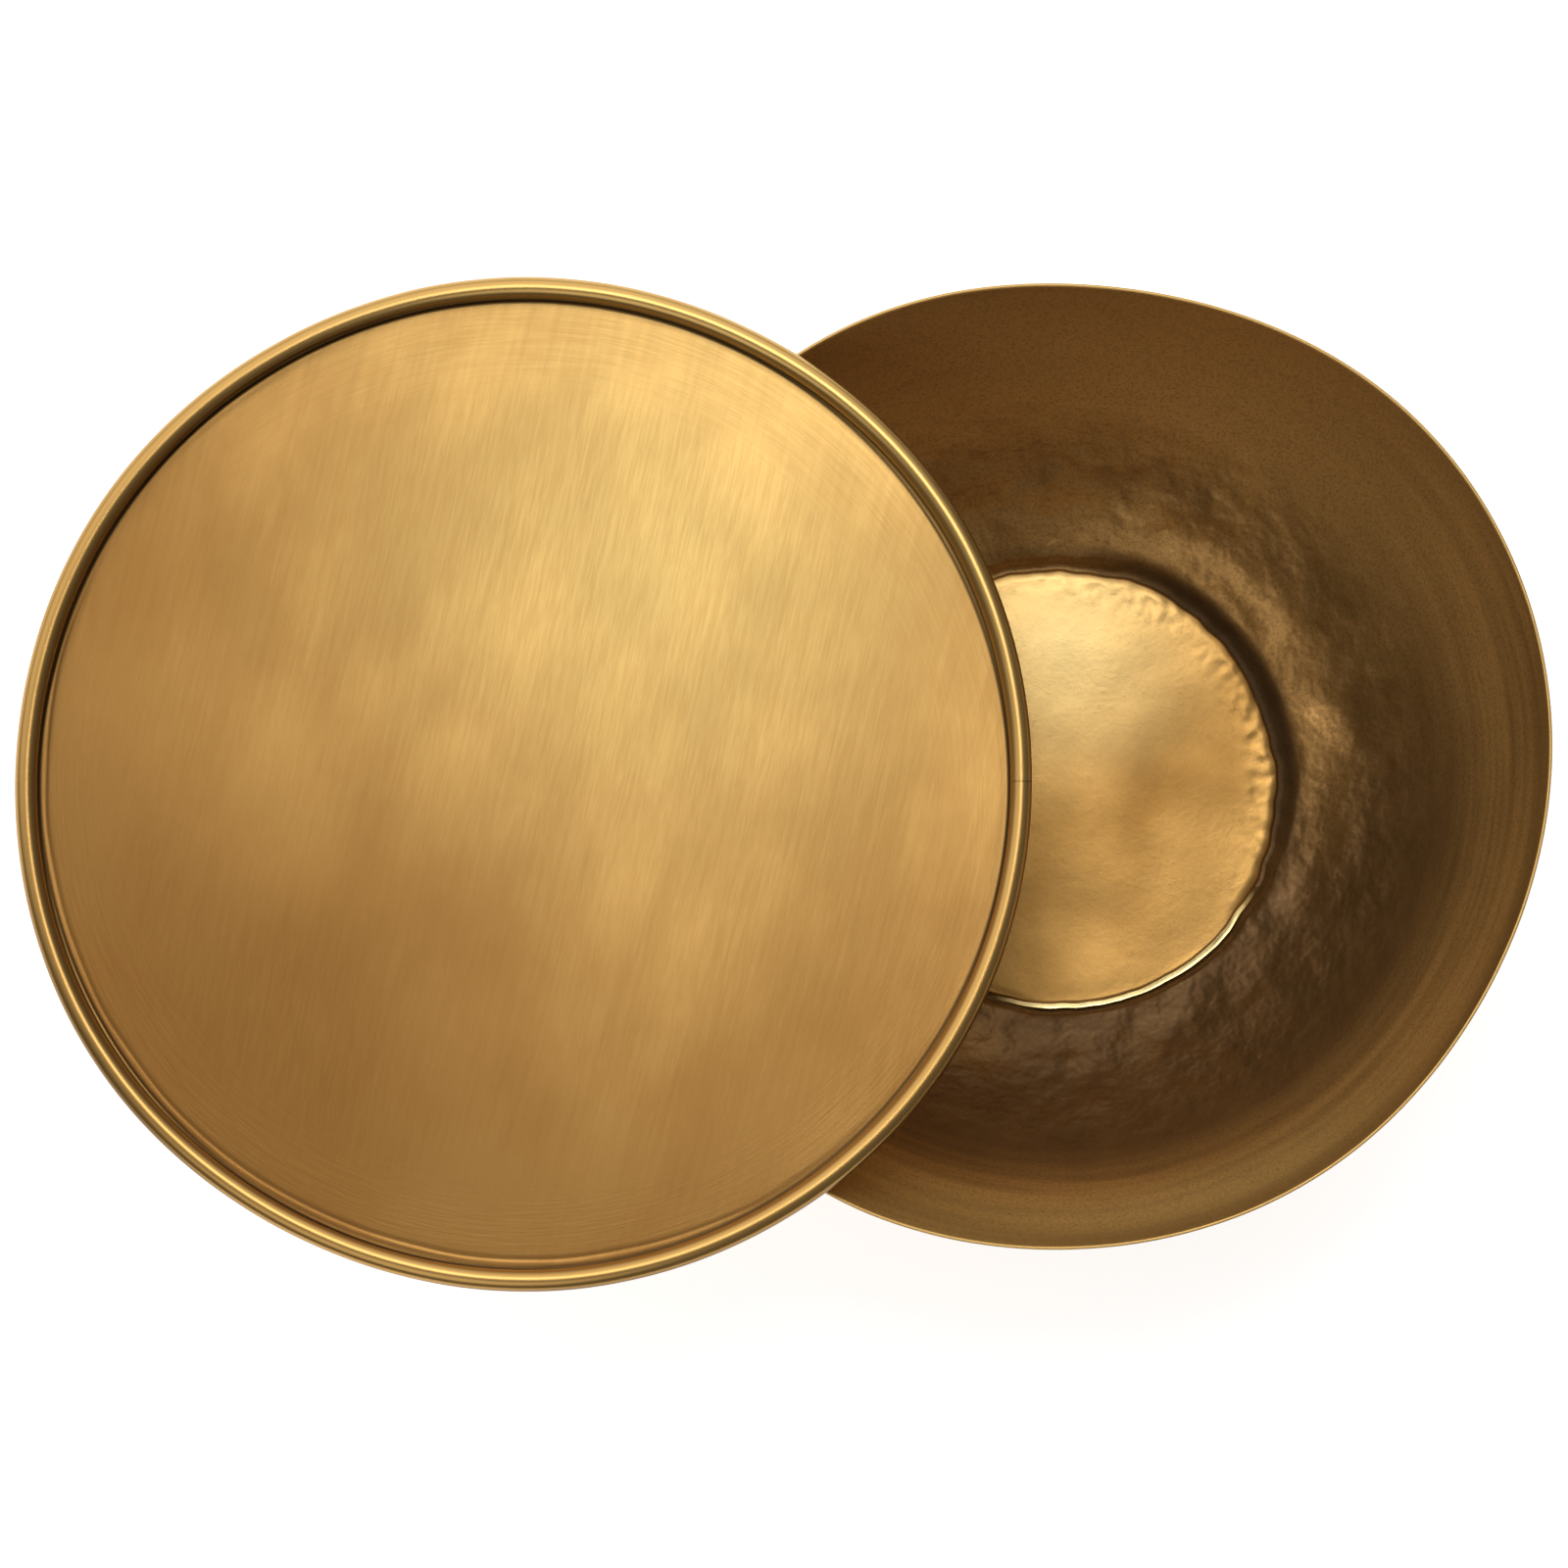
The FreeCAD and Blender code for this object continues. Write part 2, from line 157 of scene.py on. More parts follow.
def tarnish(tree, vector, pitch_mm, detail=3.0, rough=0.5):
    """Cloudy tarnish whose clouds are about pitch_mm across."""
    return add(tree, NOISE, {"Scale": 1 / (pitch_mm * MM), "Detail": detail, "Roughness": rough,
                             "Vector": vector})


def soft_patch(tree, vector, x_mm, y_mm, reach_mm, depth, stretch, uneven):
    """A soft patch on a flat piece: depth in its middle, nothing beyond its reach."""
    at = add(tree, MAPPING, {"Location": (-x_mm * stretch * MM, -y_mm * MM, 0), "Scale": (stretch, 1, 0),
                             "Vector": vector})
    away = add(tree, "ShaderNodeVectorMath", (at,), out="Value", operation="LENGTH")
    wander = add(tree, MATH, (uneven, reach_mm * 0.3 * MM), **TIMES)
    away = add(tree, MATH, (away, wander), **ADD)
    return add(tree, RANGE, (away, 0.0, reach_mm * 1.15 * MM, depth, 0.0), **SOFT)


# Where each finish and each painted highlight or shade starts and ends, as radii in metres from the axis of
# its own piece.
TRAY_EDGE_STROKES = (0.165, 0.207)
TRAY_EDGE_STAIN_AND_SHADE = (0.110, 0.215)
TRAY_CORNER = (0.2162, 0.2176)
BEAD_INNER, BEAD_OUTER = (0.2178, 0.2192), (0.2270, 0.2286)
BEAD_JOINT_X, BEAD_JOINT_Y = (0.2183, 0.2195), (0.00015, 0.0007)
WALL_BRUSHED = (0.150, 0.190)
BEND_START, BEND_END = (0.100, 0.124), (0.168, 0.198)
RING_START, RING_END, RING_SHADE = (0.108, 0.115), (0.126, 0.146), (0.112, 0.124)
UPPER_BAND, BACK_BAND = (0.176, 0.203), (0.145, 0.178)
NEAR_RIM, RIM_EDGE = (0.186, 0.203), (0.206, 0.214)
COVE_SHADE, LIP_SHADE = (0.1070, 0.1150), (0.1030, 0.1055)


def tray_brass(finish):
    """Sheet brass, antiqued and brushed by hand along one way, and round the rim beside it.

    The eye sees a warm satin gold with soft cloudy patina, fine strokes and a polished bead.
    """
    material, tree, shader = new_material("brushed_antique_brass", 0.9, 0.36)
    at, radius, angle, z = place_round(tree, TRAY_AXIS)
    edge = add(tree, RANGE, (radius, *TRAY_EDGE_STROKES, 0, 1), **SOFT)
    # Real strokes are about 0.3 mm wide; they are drawn 1 mm wide so that they show.
    straight = brush_strokes(tree, at, 1.0, 17.0, turn=math.radians(12), detail=4.0)
    long_ones = brush_strokes(tree, at, 2.4, 60.0, turn=math.radians(15), detail=3.0)
    round_ones = brush_rings(tree, radius, angle, z, 1.0, 6.0, detail=4.0)
    grain = add(tree, MIX, {0: edge, 2: straight, 3: round_ones})
    patina = brush_strokes(tree, at, 110.0, 170.0, turn=math.radians(20), detail=2.0)
    mottle = brush_strokes(tree, at, 26.0, 40.0, turn=math.radians(14), detail=4.0)
    broad = add(tree, MATH, (patina, 0.64), **TIMES)
    middling = add(tree, MATH, (mottle, 0.20), **TIMES)
    narrow = add(tree, MATH, (long_ones, 0.16), **TIMES)
    shade = add(tree, MATH, (broad, add(tree, MATH, (middling, narrow), **ADD)), **ADD)
    cover = add(tree, RANGE, (shade, 0.32, 0.66, 0, 1), **SOFT)
    colour = add(tree, MIX, {0: cover, 6: finish.tray_dark, 7: finish.tray_light}, **TINT)
    # Painted highlight, palest at the far right; browner at the near left and along that edge, part stain
    # and part painted shade.
    polished = soft_patch(tree, at, 62, 110, 250, 0.85, 1.0, patina)
    colour = add(tree, MIX, {0: polished, 6: colour, 7: finish.tray_highlight}, **TINT)
    stain_and_shade = soft_patch(tree, at, -140, -118, 250, 0.90, 1.0, patina)
    colour = add(tree, MIX, {0: stain_and_shade, 6: colour, 7: finish.tray_stain_and_shade}, **TINT)
    # Browner along the near left edge: part stain, part painted shade.
    outward = add(tree, RANGE, (radius, *TRAY_EDGE_STAIN_AND_SHADE, 0, 1), **SOFT)
    near_left = add(tree, RANGE, (toward(tree, angle, -125), -0.75, 0.4, 0.0, 0.5), **SOFT)
    edging = add(tree, MATH, (outward, near_left), **TIMES)
    colour = add(tree, MIX, {0: edging, 6: colour, 7: finish.tray_stain_and_shade}, **TINT)
    fine = add(tree, RANGE, (grain, 0.34, 0.66, 0.0, 0.28), **SOFT)
    colour = add(tree, MIX, {0: fine, 6: colour, 7: finish.tray_dark}, **TINT)
    # The bead is rubbed brighter; painted shade darkens its outermost edge, most at the front right.
    bead = add(tree, RANGE, (radius, *BEAD_INNER, 0, 1), **SOFT)
    rubbed = add(tree, MATH, (bead, 0.45), **TIMES)
    colour = add(tree, MIX, {0: rubbed, 6: colour, 7: finish.rubbed}, **TINT)
    outermost = add(tree, RANGE, (radius, *BEAD_OUTER, 0.0, 0.85), **SOFT)
    front = add(tree, RANGE, (toward(tree, angle, -65), -0.5, 0.6, 0.25, 1.0), **SOFT)
    bead_edge_shade = add(tree, MATH, (outermost, front), **TIMES)
    colour = add(tree, MIX, {0: bead_edge_shade, 6: colour, 7: finish.wall_specks_and_shade}, **TINT)
    # Painted shade in the corner beside the bead.
    shaded_corner = add(tree, RANGE, (radius, *TRAY_CORNER, 0.0, 0.9), **SOFT)
    corner = add(tree, MATH, (shaded_corner, add(tree, MATH, (1.0, bead), **LESS)), **TIMES)
    colour = add(tree, MIX, {0: corner, 6: colour, 7: finish.joint_dark_and_shade}, **TINT)
    # The bead's two ends meet in a butt joint.
    x, y, _ = add(tree, "ShaderNodeSeparateXYZ", (at,)).node.outputs
    off_joint = add(tree, MATH, (y,), operation="ABSOLUTE")
    on_joint = add(tree, RANGE, (off_joint, *BEAD_JOINT_Y, 0.35, 0.0), **SOFT)
    on_bead = add(tree, RANGE, (x, *BEAD_JOINT_X, 0, 1), **SOFT)
    joint = add(tree, MATH, (on_joint, on_bead), **TIMES)
    colour = add(tree, MIX, {0: joint, 6: colour, 7: finish.joint_dark_and_shade}, **TINT)
    satin = add(tree, RANGE, (shade, 0.35, 0.65, 0.44, 0.36), **SOFT)
    rough = add(tree, MIX, {0: bead, 2: satin, 3: 0.29})
    brushed = add(tree, MIX, {0: bead, 2: grain, 3: 0.5})
    normal = add(tree, BUMP, {"Height": brushed, "Distance": 0.055 * MM})
    normal = add(tree, BUMP, {"Height": mottle, "Distance": 0.05 * MM, "Normal": normal})
    coat_with(tree, shader, colour, rough, normal)
    return material


def wall_brass(finish):
    """Sheet brass raised by hand: hammered round the floor, brushed round and round above.

    The eye sees a brown-gold wall, lumpy and cloudy low down and finely ringed near the rim.
    """
    material, tree, shader = new_material("hammered_antique_brass", 0.62, 0.45)
    at, radius, angle, z = place_round(tree, (0, 0))
    high = add(tree, RANGE, (radius, *WALL_BRUSHED, 0, 1), **SOFT)
    # The brush's rings are about 0.4 mm apart; they are drawn 1.6 mm apart so that they show.
    rings = brush_rings(tree, radius, angle, z, 1.6, 9.0, detail=3.0)
    bands = brush_rings(tree, radius, angle, z, 11.0, 60.0, detail=3.0)
    lumps = tarnish(tree, at, 26.0)
    patina = tarnish(tree, at, 90.0, detail=4.0)
    # The metal's own grain is finer than this; it is drawn 1.3 mm across so that it shows.
    grain = tarnish(tree, at, 1.3)
    local = add(tree, MIX, {0: high, 2: lumps, 3: bands})
    broad, close = add(tree, MATH, (patina, 0.45), **TIMES), add(tree, MATH, (local, 0.55), **TIMES)
    shade = add(tree, MATH, (broad, close), **ADD)
    cover = add(tree, RANGE, (shade, 0.34, 0.66, 0, 1), **SOFT)
    colour = add(tree, MIX, {0: cover, 6: finish.wall_dark, 7: finish.wall_light}, **TINT)
    lines = add(tree, RANGE, (rings, 0.35, 0.70, 0.0, 0.30), **SOFT)
    lines_high = add(tree, MATH, (lines, high), **TIMES)
    colour = add(tree, MIX, {0: lines_high, 6: colour, 7: finish.wall_light}, **TINT)
    # Painted shade darkens the bend half-way up, most of all towards the front right.
    front = toward(tree, angle, -60)
    bend_in = add(tree, RANGE, (radius, *BEND_START, 0, 1), **SOFT)
    bend_out = add(tree, RANGE, (radius, *BEND_END, 1, 0), **SOFT)
    bend_shade = add(tree, MATH, (bend_in, bend_out), **TIMES)
    most_in_front = add(tree, RANGE, (front, -0.35, 0.9, 0.0, 0.80), **SOFT)
    bend_shade = add(tree, MATH, (bend_shade, most_in_front), **TIMES)
    colour = add(tree, MIX, {0: bend_shade, 6: colour, 7: finish.wall_specks_and_shade}, **TINT)
    # Painted highlight on the hammered ring beside the floor, least at the front right.
    ring_in = add(tree, RANGE, (radius, *RING_START, 0, 1), **SOFT)
    ring_out = add(tree, RANGE, (radius, *RING_END, 0.58, 0.0), **SOFT)
    ring_highlight = add(tree, MATH, (ring_in, ring_out), **TIMES)
    least_in_front = add(tree, RANGE, (front, 0.2, 0.95, 1.0, 0.0), **SOFT)
    ring_highlight = add(tree, MATH, (ring_highlight, least_in_front), **TIMES)
    colour = add(tree, MIX, {0: ring_highlight, 6: colour, 7: finish.wall_highlight}, **TINT)
    # Painted shade on the low ring at the front right.
    ring_shade = add(tree, RANGE, (radius, *RING_SHADE, 0.75, 0.0), **SOFT)
    in_front = add(tree, RANGE, (front, 0.35, 0.90, 0, 1), **SOFT)
    front_ring_shade = add(tree, MATH, (ring_shade, in_front), **TIMES)
    colour = add(tree, MIX, {0: front_ring_shade, 6: colour, 7: finish.wall_specks_and_shade}, **TINT)
    # Painted highlight above the bend, broken up by the brush's bands, most at the back and least at the
    # right.
    band_depth = add(tree, RANGE, (bands, 0.32, 0.66, 0.35, 1.0), **SOFT)
    upper = add(tree, RANGE, (radius, *UPPER_BAND, 0, 1), **SOFT)
    upper_highlight = add(tree, MATH, (upper, band_depth), **TIMES)
    right_side = add(tree, RANGE, (toward(tree, angle, -30), 0.35, 0.95, 1.0, 0.35), **SOFT)
    upper_highlight = add(tree, MATH, (upper_highlight, right_side), **TIMES)
    colour = add(tree, MIX, {0: upper_highlight, 6: colour, 7: finish.wall_highlight}, **TINT)
    # Painted highlight on the middle of the wall at the back.
    back = add(tree, RANGE, (toward(tree, angle, 90), 0.10, 0.95, 0.0, 0.90), **SOFT)
    back_band = add(tree, RANGE, (radius, *BACK_BAND, 0, 1), **SOFT)
    back = add(tree, MATH, (back, back_band), **TIMES)
    colour = add(tree, MIX, {0: back, 6: colour, 7: finish.wall_highlight}, **TINT)
    # Painted highlight near the rim at the front.
    near = add(tree, RANGE, (toward(tree, angle, -95), 0.50, 0.95, 0.0, 0.60), **SOFT)
    near_rim = add(tree, RANGE, (radius, *NEAR_RIM, 0, 1), **SOFT)
    near = add(tree, MATH, (near, near_rim), **TIMES)
    colour = add(tree, MIX, {0: near, 6: colour, 7: finish.tray_highlight}, **TINT)
    # Painted shade on the rim's edge, towards the front right.
    rim_shade = add(tree, RANGE, (toward(tree, angle, -45), 0.30, 0.95, 0.0, 0.65), **SOFT)
    rim_edge = add(tree, RANGE, (radius, *RIM_EDGE, 0, 1), **SOFT)
    rim_shade = add(tree, MATH, (rim_shade, rim_edge), **TIMES)
    colour = add(tree, MIX, {0: rim_shade, 6: colour, 7: finish.wall_dark}, **TINT)
    specks = add(tree, RANGE, (grain, 0.42, 0.70, 0.0, 0.34), **SOFT)
    colour = add(tree, MIX, {0: specks, 6: colour, 7: finish.wall_specks_and_shade}, **TINT)
    lip = add(tree, RANGE, (z, RIM - 0.9 * MM, RIM - 0.2 * MM, 0, 1), **SOFT)
    colour = add(tree, MIX, {0: lip, 6: colour, 7: finish.rubbed}, **TINT)
    # Painted shade darkens the cove most over the far right; elsewhere only a trace stays at the lip.
    far_right = add(tree, RANGE, (toward(tree, angle, 30), 0.45, 0.95, 0, 1), **SOFT)
    cove_out = add(tree, RANGE, (radius, *COVE_SHADE, 0.85, 0.0), **SOFT)
    lip_only = add(tree, RANGE, (radius, *LIP_SHADE, 0.20, 0.0), **SOFT)
    kept = add(tree, MIX, {0: far_right, 2: lip_only, 3: 1.0})
    corner = add(tree, MATH, (cove_out, kept), **TIMES)
    colour = add(tree, MIX, {0: corner, 6: colour, 7: finish.joint_dark_and_shade}, **TINT)
    satin = add(tree, MIX, {0: high, 2: 0.42, 3: 0.48})
    rough = add(tree, MIX, {0: corner, 2: satin, 3: 0.75})
    # The outside was planished and polished cleaner than the inside, so it is plainer and more of
    # a mirror. The inside is told from it by the way the surface faces.
    facing = add(tree, "ShaderNodeTexCoord", out="Normal")
    faces_up = add(tree, "ShaderNodeSeparateXYZ", (facing,), out=2)
    inside = add(tree, RANGE, (faces_up, -0.10, 0.02, 0, 1), **SOFT)
    cloud, line = add(tree, MATH, (patina, 0.75), **TIMES), add(tree, MATH, (rings, 0.25), **TIMES)
    old = add(tree, MATH, (cloud, line), **ADD)
    old = add(tree, RANGE, (old, 0.34, 0.66, 0, 1), **SOFT)
    outside = add(tree, MIX, {0: old, 6: finish.wall_dark, 7: finish.tray_light}, **TINT)
    colour = add(tree, MIX, {0: inside, 6: outside, 7: colour}, **TINT)
    rough_outside = add(tree, RANGE, (old, 0, 1, 0.38, 0.29))
    rough = add(tree, MIX, {0: inside, 2: rough_outside, 3: rough})
    metal = add(tree, MIX, {0: inside, 2: 0.97, 3: 0.62})
    tree.links.new(metal, shader.inputs["Metallic"])
    # Between the hammer's broad lumps are the small flats of its face, about 11 mm across.
    flats = add(tree, MIX, {0: high, 2: tarnish(tree, at, 11.0, detail=2.0), 3: 0.5})
    ridges = add(tree, MATH, (rings, high), **TIMES)
    normal = add(tree, BUMP, {"Height": flats, "Distance": 1.7 * MM})
    normal = add(tree, BUMP, {"Height": ridges, "Distance": 0.05 * MM, "Normal": normal})
    normal = add(tree, BUMP, {"Height": grain, "Distance": 0.06 * MM, "Normal": normal})
    coat_with(tree, shader, colour, rough, normal)
    return material


def floor_brass(finish):
    """Sheet brass beaten flat and burnished by use.

    The eye sees the brightest, smoothest gold of the bowl, with soft dents and faint pitting.
    """
    material, tree, shader = new_material("burnished_brass_floor", 0.92, 0.34)
    at = add(tree, "ShaderNodeTexCoord", out="Object")
    patina = tarnish(tree, at, 60.0)
    mottle = tarnish(tree, at, 15.0)
    specks = tarnish(tree, at, 2.2, detail=4.0, rough=0.7)
    cover = add(tree, RANGE, (patina, 0.25, 0.75, 0, 1), **SOFT)
    colour = add(tree, MIX, {0: cover, 6: finish.floor_dark, 7: finish.floor_light}, **TINT)
    clouds = add(tree, RANGE, (mottle, 0.40, 0.72, 0.0, 0.30), **SOFT)
    colour = add(tree, MIX, {0: clouds, 6: colour, 7: finish.floor_dark}, **TINT)
    # A soft brown patch right of the middle, with a darker heart and a fainter tail.
    marks = ((38, 10, 1.0, 66, 0.75), (38, 2, 1.3, 32, 0.40), (38, -26, 1.8, 30, 0.35),
             (24, -60, 0.6, 55, 0.40), (86, 6, 1.2, 34, 0.25))
    for x, y, stretch, reach, depth in marks:
        mark = soft_patch(tree, at, x, y, reach, depth, stretch, patina)
        colour = add(tree, MIX, {0: mark, 6: colour, 7: finish.floor_mark}, **TINT)
    # Painted pale highlight towards the back of the floor.
    polished = soft_patch(tree, at, 0, 68, 92, 0.64, 1.0, patina)
    colour = add(tree, MIX, {0: polished, 6: colour, 7: finish.floor_highlight}, **TINT)
    pits = add(tree, RANGE, (specks, 0.58, 0.74, 0.0, 0.35), **SOFT)
    colour = add(tree, MIX, {0: pits, 6: colour, 7: finish.wall_dark}, **TINT)
    rough = add(tree, RANGE, (patina, 0.3, 0.7, 0.42, 0.34), **SOFT)
    normal = add(tree, BUMP, {"Height": specks, "Distance": 0.07 * MM})
    normal = add(tree, BUMP, {"Height": mottle, "Distance": 0.18 * MM, "Normal": normal})
    coat_with(tree, shader, colour, rough, normal)
    return material


def braze_metal(finish):
    """Brass braze dressed with a file: a painted highlight along the front, and painted shade elsewhere."""
    material, tree, shader = new_material("dressed_braze", 1.0, 0.28)
    at, _, angle, z = place_round(tree, (0, 0))
    fine = tarnish(tree, at, 2.5, detail=4.0, rough=0.6)
    # Painted highlight along the front of the braze.
    front = add(tree, RANGE, (toward(tree, angle, SEAM_FRONT), 0.70, 0.92, 0, 1), **SOFT)
    inside = add(tree, RANGE, (z, FLOOR_SEAT - 0.8 * MM, FLOOR_SEAT - 0.3 * MM, 0, 1), **SOFT)
    # Painted shade on the rest of the braze.
    black = add(tree, MATH, (inside, add(tree, MATH, (1.0, front), **LESS)), **TIMES)
    cover = add(tree, RANGE, (fine, 0.35, 0.65, 0, 1), **SOFT)
    colour = add(tree, MIX, {0: cover, 6: finish.floor_dark, 7: finish.rubbed}, **TINT)
    colour = add(tree, MIX, {0: front, 6: colour, 7: finish.seam_highlight}, **TINT)
    colour = add(tree, MIX, {0: black, 6: colour, 7: finish.joint_dark_and_shade}, **TINT)
    filed = add(tree, RANGE, (fine, 0.3, 0.7, 0.34, 0.24), **SOFT)
    rough = add(tree, MIX, {0: black, 2: filed, 3: 0.85})
    normal = add(tree, BUMP, {"Height": fine, "Distance": 0.06 * MM})
    coat_with(tree, shader, colour, rough, normal)
    return material


def spun_brass(finish, name="brushed_brass_foot", centre=(0, 0)):
    """Brass turned and brushed round its axis: fine rings, with patina left in patches."""
    material, tree, shader = new_material(name, 1.0, 0.36)
    at, radius, angle, z = place_round(tree, centre)
    rings = brush_rings(tree, radius, angle, z, 1.1, 12.0, detail=3.0)
    patina = tarnish(tree, at, 60.0, detail=4.0)
    cloud, line = add(tree, MATH, (patina, 0.7), **TIMES), add(tree, MATH, (rings, 0.3), **TIMES)
    shade = add(tree, MATH, (cloud, line), **ADD)
    cover = add(tree, RANGE, (shade, 0.38, 0.62, 0, 1), **SOFT)
    colour = add(tree, MIX, {0: cover, 6: finish.wall_dark, 7: finish.tray_light}, **TINT)
    rough = add(tree, RANGE, (shade, 0.35, 0.65, 0.42, 0.32), **SOFT)
    normal = add(tree, BUMP, {"Height": rings, "Distance": 0.03 * MM})
    coat_with(tree, shader, colour, rough, normal)
    return material


def plain_finish(name, light, dark, metallic, roughness, pitch_mm, depth_mm):
    """A plain finish with fine unevenness: two tones of one colour and a slight grain."""
    material, tree, shader = new_material(name, metallic, roughness)
    at = add(tree, "ShaderNodeTexCoord", out="Object")
    fine = tarnish(tree, at, pitch_mm, detail=4.0, rough=0.6)
    broad = tarnish(tree, at, pitch_mm * 14)
    small, large = add(tree, MATH, (fine, 0.4), **TIMES), add(tree, MATH, (broad, 0.6), **TIMES)
    both = add(tree, MATH, (small, large), **ADD)
    cover = add(tree, RANGE, (both, 0.38, 0.62, 0, 1), **SOFT)
    colour = add(tree, MIX, {0: cover, 6: dark, 7: light}, **TINT)
    rough = add(tree, RANGE, (both, 0.35, 0.65, roughness + 0.06, roughness - 0.04), **SOFT)
    normal = add(tree, BUMP, {"Height": fine, "Distance": depth_mm * MM})
    coat_with(tree, shader, colour, rough, normal)
    return material


# ---------------------------------------------------------------- sizes and colours

class BowlSizes(bpy.types.PropertyGroup):
    sheet: FloatProperty(name="Sheet", description="Thickness of the bowl's and tray's brass",
                         default=1.2 * MM, unit="LENGTH")
    out_of_round: FloatProperty(name="Out of round", description="Scale of the rim's hand-made unevenness",
                                default=1.0, min=0.0, max=2.0, subtype="FACTOR")
    hammer_pitch: FloatProperty(name="Hammer pitch", description="Distance between hammer marks",
                                default=25 * MM, unit="LENGTH")
    hammer_depth: FloatProperty(name="Hammer depth", description="Height of the lumps the hammer leaves",
                                default=2.5 * MM, unit="LENGTH")
    floor_dents: FloatProperty(name="Floor dents", description="Depth of the floor plate's soft dents",
                               default=0.8 * MM, unit="LENGTH")
    seam_crinkle: FloatProperty(name="Seam crinkle", description="How far the floor's edge wanders",
                                default=2.2 * MM, unit="LENGTH")
    bead_radius: FloatProperty(name="Bead radius", description="Radius of the tray's rolled edge",
                               default=4.85 * MM, unit="LENGTH")
    steps: IntProperty(name="Steps", description="Faces round the bowl and tray",
                       default=480, min=64, max=600)


class BowlFinish(bpy.types.PropertyGroup):
    tray_light: FloatVectorProperty(
        name="Tray", description="Cleaned brass of the tray", size=4, subtype="COLOR", min=0, max=1,
        default=linear("#BD9353"))
    # Painted pale highlight on the tray, and near the wall's rim at the front.
    tray_highlight: FloatVectorProperty(
        name="Tray highlight", description="Painted pale highlight", size=4, subtype="COLOR", min=0, max=1,
        default=linear("#CBAD6B"))
    tray_dark: FloatVectorProperty(
        name="Tray patina", description="Patina on the tray", size=4, subtype="COLOR", min=0, max=1,
        default=linear("#A3773D"))
    # Brown stain with painted shade, at the near left of the tray and along its edge.
    tray_stain_and_shade: FloatVectorProperty(
        name="Tray stain and shade", description="Brown stain and painted shade on the tray", size=4, subtype="COLOR", min=0, max=1,
        default=linear("#8A5F2C"))
    wall_light: FloatVectorProperty(
        name="Wall", description="Cleaned brass of the wall", size=4, subtype="COLOR", min=0, max=1,
        default=linear("#B5894C"))
    # Dark tarnish specks, and painted shade on the bend, the low ring's front and the bead's outer edge.
    wall_specks_and_shade: FloatVectorProperty(
        name="Wall specks and shade", description="Dark specks, and painted shade on the bend", size=4, subtype="COLOR", min=0, max=1,
        default=linear("#54391A"))
    # Painted highlight on the wall.
    wall_highlight: FloatVectorProperty(
        name="Wall highlight", description="Painted highlight on the wall", size=4, subtype="COLOR", min=0, max=1,
        default=linear("#D6A35C"))
    wall_dark: FloatVectorProperty(
        name="Wall patina", description="Patina on the wall", size=4, subtype="COLOR", min=0, max=1,
        default=linear("#886432"))
    floor_light: FloatVectorProperty(
        name="Floor", description="Burnished brass of the floor", size=4, subtype="COLOR", min=0, max=1,
        default=linear("#C99C58"))
    # Painted pale highlight on the floor.
    floor_highlight: FloatVectorProperty(
        name="Floor highlight", description="Painted pale highlight on the floor", size=4, subtype="COLOR", min=0, max=1,
        default=linear("#D6C288"))
    floor_mark: FloatVectorProperty(
        name="Floor mark", description="Brown mark on the floor", size=4, subtype="COLOR", min=0, max=1,
        default=linear("#7D5622"))
    floor_dark: FloatVectorProperty(
        name="Floor patina", description="Patina on the floor", size=4, subtype="COLOR", min=0, max=1,
        default=linear("#AE8344"))
    rubbed: FloatVectorProperty(
        name="Rubbed edge", description="Brass rubbed bright", size=4, subtype="COLOR", min=0, max=1,
        default=linear("#E2B76C"))
    # Painted highlight on the braze at the front.
    seam_highlight: FloatVectorProperty(
        name="Seam highlight", description="Painted highlight on the braze at the front",
        size=4, subtype="COLOR", min=0, max=1, default=linear("#F0D898"))
    # Dark line of the bead's joint, and painted shade in the tray's corner, the cove and on the braze.
    joint_dark_and_shade: FloatVectorProperty(
        name="Joint and shade", description="Dark joint, and painted shade in corners", size=4, subtype="COLOR", min=0, max=1,
        default=linear("#3A2710"))


class StageSizes(bpy.types.PropertyGroup):
    aim: FloatVectorProperty(name="Aim", description="Point the camera looks at", size=3,
                             subtype="TRANSLATION", default=(-0.1273, -0.0088, RIM))
    distance: FloatProperty(name="Distance", description="Camera to the rim's level",
                            default=4.5, unit="LENGTH")
    tilt: FloatProperty(name="Tilt", description="Camera's lean from straight above", subtype="ANGLE",
                        default=math.radians(3.9))
    width: FloatProperty(name="Width", description="Width of the view at the rim's level", default=0.7050,
                         unit="LENGTH")
    softbox: FloatProperty(name="Softbox", description="Brightness of the softbox", default=3.9, min=0)
    softbox_at: FloatVectorProperty(name="Softbox place", description="Middle of the softbox",
                                    size=3, subtype="TRANSLATION", default=(-0.05, 0.44, 1.78))
    softbox_size: FloatProperty(name="Softbox size", description="Width of the round softbox", default=0.78,
                                unit="LENGTH")
    fill: FloatProperty(name="Fill", description="Brightness of the light at the front left",
                        default=1.0, min=0)
    fill_size: FloatProperty(name="Fill size", description="Width of the fill light",
                             default=1.3, unit="LENGTH")
    fill_at: FloatVectorProperty(name="Fill place", description="Middle of the fill light", size=3,
                                 subtype="TRANSLATION", default=(-0.62, -1.13, 1.6))
    bright_side: FloatProperty(name="Bright side", description="Brightness of the room behind the bowl",
                               default=1.35, min=0)
    dark_side: FloatProperty(name="Dark side", description="Brightness of the rest of the room",
                             default=0.13, min=0)
    table_glow: FloatProperty(name="Table glow", description="Light that the table gives",
                              default=0.75, min=0)


# ---------------------------------------------------------------- mesh helpers

